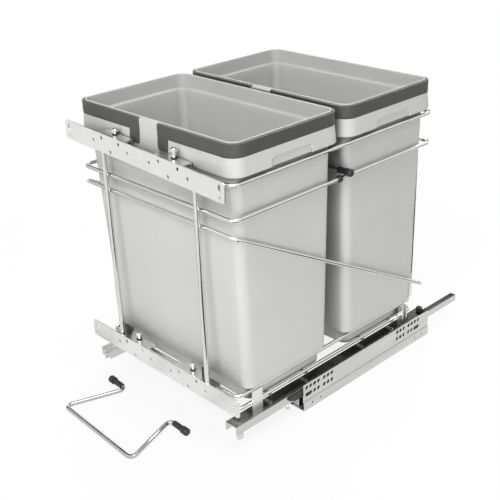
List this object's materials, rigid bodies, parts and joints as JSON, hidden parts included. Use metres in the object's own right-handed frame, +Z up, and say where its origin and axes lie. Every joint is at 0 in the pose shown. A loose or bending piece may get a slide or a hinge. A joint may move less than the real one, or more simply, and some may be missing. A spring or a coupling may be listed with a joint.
{
  "type": "pull-out bin frame",
  "caption": "Pull-out waste bin frame: chromed wire frame with lift-out bins and bag bands on floor-mounted slides, with drilled plates for a cabinet door.",
  "frame": {"origin": "middle of the bounding box at the level of the cabinet floor", "axes": "+X to the object's right as seen from its front, +Y from the door plates towards the rear of the cabinet, +Z up"},
  "size_m": [0.3748, 0.6916, 0.477],
  "materials": {
    "chrome": "polished",
    "zinc": "zinc plated, satin",
    "galvanised": "galvanised, satin",
    "black_rubber": "matte",
    "clear_plastic": "translucent white",
    "bin_plastic": "satin, moulded",
    "band_plastic": "satin, moulded"
  },
  "bodies": {
    "cabinet": {"left_cabinet_profile": "galvanised", "right_cabinet_profile": "galvanised", "rear_buffers": "black_rubber", "buffer_rivets": "zinc"},
    "left_rail": {"left_middle_rail": "galvanised", "left_glides": "clear_plastic"},
    "right_rail": {"right_middle_rail": "galvanised", "right_glides": "clear_plastic"},
    "frame": {"upper_ring": "chrome", "middle_ring": "chrome", "brace_ring": "chrome", "front_posts": "chrome", "rear_posts": "chrome", "tray_upper_ring": "chrome", "tray_lower_ring": "chrome", "tray_cross_wires": "chrome", "front_slide_tabs": "zinc", "rear_slide_tabs": "zinc", "lower_brackets": "zinc", "upper_brackets": "zinc", "lower_adjusting_screws": "chrome", "upper_adjusting_screws": "chrome", "lower_nuts": "zinc", "upper_nuts": "zinc", "divider_wire": "chrome", "divider_caps": "black_rubber", "ring_stops": "black_rubber", "left_drawer_channel": "galvanised", "right_drawer_channel": "galvanised", "channel_feet": "clear_plastic"},
    "lower_plate": {"lower_door_plate": "zinc", "lower_washers": "black_rubber", "post_guides": "black_rubber"},
    "upper_plate": {"upper_door_plate": "zinc", "upper_washers": "black_rubber"},
    "front_bin": {"front_bin": "bin_plastic"},
    "rear_bin": {"rear_bin": "bin_plastic"},
    "front_band": {"front_bag_band": "band_plastic"},
    "rear_band": {"rear_bag_band": "band_plastic"},
    "loose_wire": {"loose_wire": "chrome", "loose_wire_caps": "black_rubber"}
  },
  "joints": [
    {"name": "frame_slide", "type": "slide", "parent": "cabinet", "child": "frame", "axis": [0, -1, 0], "range_m": [-0.04, 0.42]},
    {"name": "left_rail_slide", "type": "slide", "parent": "cabinet", "child": "left_rail", "axis": [0, -1, 0], "range_m": [-0.02, 0.21]},
    {"name": "right_rail_slide", "type": "slide", "parent": "cabinet", "child": "right_rail", "axis": [0, -1, 0], "range_m": [-0.02, 0.21]},
    {"name": "lower_plate_tilt", "type": "hinge", "parent": "frame", "child": "lower_plate", "pos_m": [0, -0.22169, 0.079], "axis": [0, 1, 0], "range_deg": [-2.5, 2.5]},
    {"name": "upper_plate_tilt", "type": "hinge", "parent": "frame", "child": "upper_plate", "pos_m": [0, -0.22869, 0.426], "axis": [0, 1, 0], "range_deg": [-5, 0]},
    {"name": "front_bin_lift", "type": "slide", "parent": "frame", "child": "front_bin", "axis": [0, 0, 1], "range_m": [0, 0.42]},
    {"name": "rear_bin_lift", "type": "slide", "parent": "frame", "child": "rear_bin", "axis": [0, 0, 1], "range_m": [0, 0.42]},
    {"name": "front_band_lift", "type": "slide", "parent": "front_bin", "child": "front_band", "axis": [0, 0, 1], "range_m": [0, 0.06]},
    {"name": "rear_band_lift", "type": "slide", "parent": "rear_bin", "child": "rear_band", "axis": [0, 0, 1], "range_m": [0, 0.06]},
    {"name": "loose_wire_slide", "type": "slide", "parent": "cabinet", "child": "loose_wire", "axis": [0, -1, 0], "range_m": [0, 0.15]}
  ],
  "couplings": [
    {"joint": "left_rail_slide", "follows": "frame_slide", "ratio": 0.5},
    {"joint": "right_rail_slide", "follows": "frame_slide", "ratio": 0.5}
  ]
}
